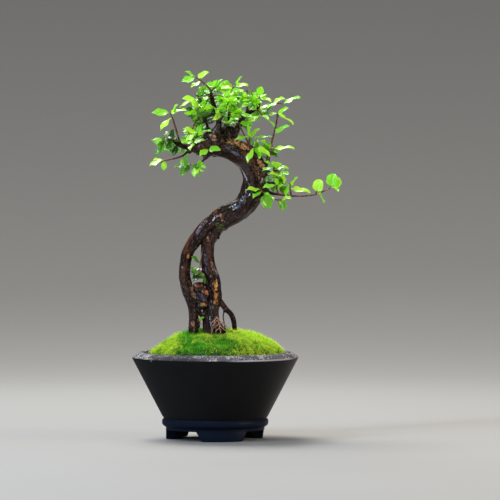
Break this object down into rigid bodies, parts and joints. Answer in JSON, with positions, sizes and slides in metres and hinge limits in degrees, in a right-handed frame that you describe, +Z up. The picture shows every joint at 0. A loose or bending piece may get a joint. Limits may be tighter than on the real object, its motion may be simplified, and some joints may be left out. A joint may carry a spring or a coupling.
{
  "type": "bonsai tree in pot",
  "caption": "Bird plum bonsai with an S-shaped trunk on two legs, leafy twigs and moss, in a round footed pot.",
  "frame": {"origin": "on the ground under the middle of the whole object's box", "axes": "+Z up, +X to the right and +Y away from the viewer, as in the picture"},
  "size_m": [0.188, 0.15, 0.3313],
  "materials": {
    "pot": "matte black, slightly dusty lip",
    "drain_mesh": "matte",
    "soil": "damp crumbly soil",
    "moss": "fine upright shoots",
    "bark": "dark wet bark, glossy",
    "leaf_bright": "glossy young leaves",
    "leaf_deep": "glossy older leaves"
  },
  "bodies": {
    "root": {"pot": "pot", "drain_mesh": "drain_mesh", "soil": "soil", "moss": "moss", "tree_wood": "bark", "spray_top_left": "leaf_bright", "spray_top_left_low": "leaf_bright", "spray_upper_left": "leaf_bright", "spray_inner_left": "leaf_bright", "spray_top_centre": "leaf_bright", "spray_top_right": "leaf_bright", "spray_centre_high": "leaf_bright", "spray_centre_right_high": "leaf_bright", "spray_centre_front": "leaf_bright", "spray_centre_low_front": "leaf_bright", "spray_centre_low": "leaf_bright", "spray_right_inner": "leaf_bright", "spray_right_high": "leaf_bright", "spray_right_tip": "leaf_bright", "spray_right_out": "leaf_bright", "spray_right_droop": "leaf_bright", "spray_red_top": "leaf_bright", "spray_red_middle": "leaf_bright", "spray_red_low": "leaf_bright", "spray_inner_red_top": "leaf_bright", "spray_inner_red_middle": "leaf_bright", "spray_inner_red_low": "leaf_bright", "spray_left_up": "leaf_bright", "spray_left_end": "leaf_deep", "spray_far_left_tip": "leaf_bright", "spray_left_front_tip": "leaf_bright", "spray_left_front_side": "leaf_bright", "spray_arm_front": "leaf_bright", "spray_head_front": "leaf_deep", "spray_low_left_tip": "leaf_deep", "spray_low_left_side": "leaf_bright", "spray_lower_right_high": "leaf_bright", "spray_lower_right_tip": "leaf_bright", "spray_lower_right_low": "leaf_bright", "spray_trunk_front_leaf": "leaf_bright", "spray_long_middle": "leaf_bright", "spray_long_end": "leaf_bright", "spray_long_end_side": "leaf_bright", "spray_droop_tip": "leaf_bright", "spray_between_legs": "leaf_deep", "spray_base_sprout": "leaf_bright", "spray_back_top_left": "leaf_deep", "spray_back_left_high": "leaf_deep", "spray_back_left_inner": "leaf_deep", "spray_back_top": "leaf_deep", "spray_back_centre": "leaf_deep", "spray_back_right_tip": "leaf_deep", "spray_back_right_side": "leaf_deep", "spray_back_low_left_tip": "leaf_deep", "spray_back_low_left_side": "leaf_deep", "spray_back_low_left_inner": "leaf_deep", "spray_back_low_right_tip": "leaf_deep", "spray_back_low_right_side": "leaf_deep", "spray_back_lower_tip": "leaf_deep", "spray_back_lower_side": "leaf_deep"}
  },
  "joints": []
}
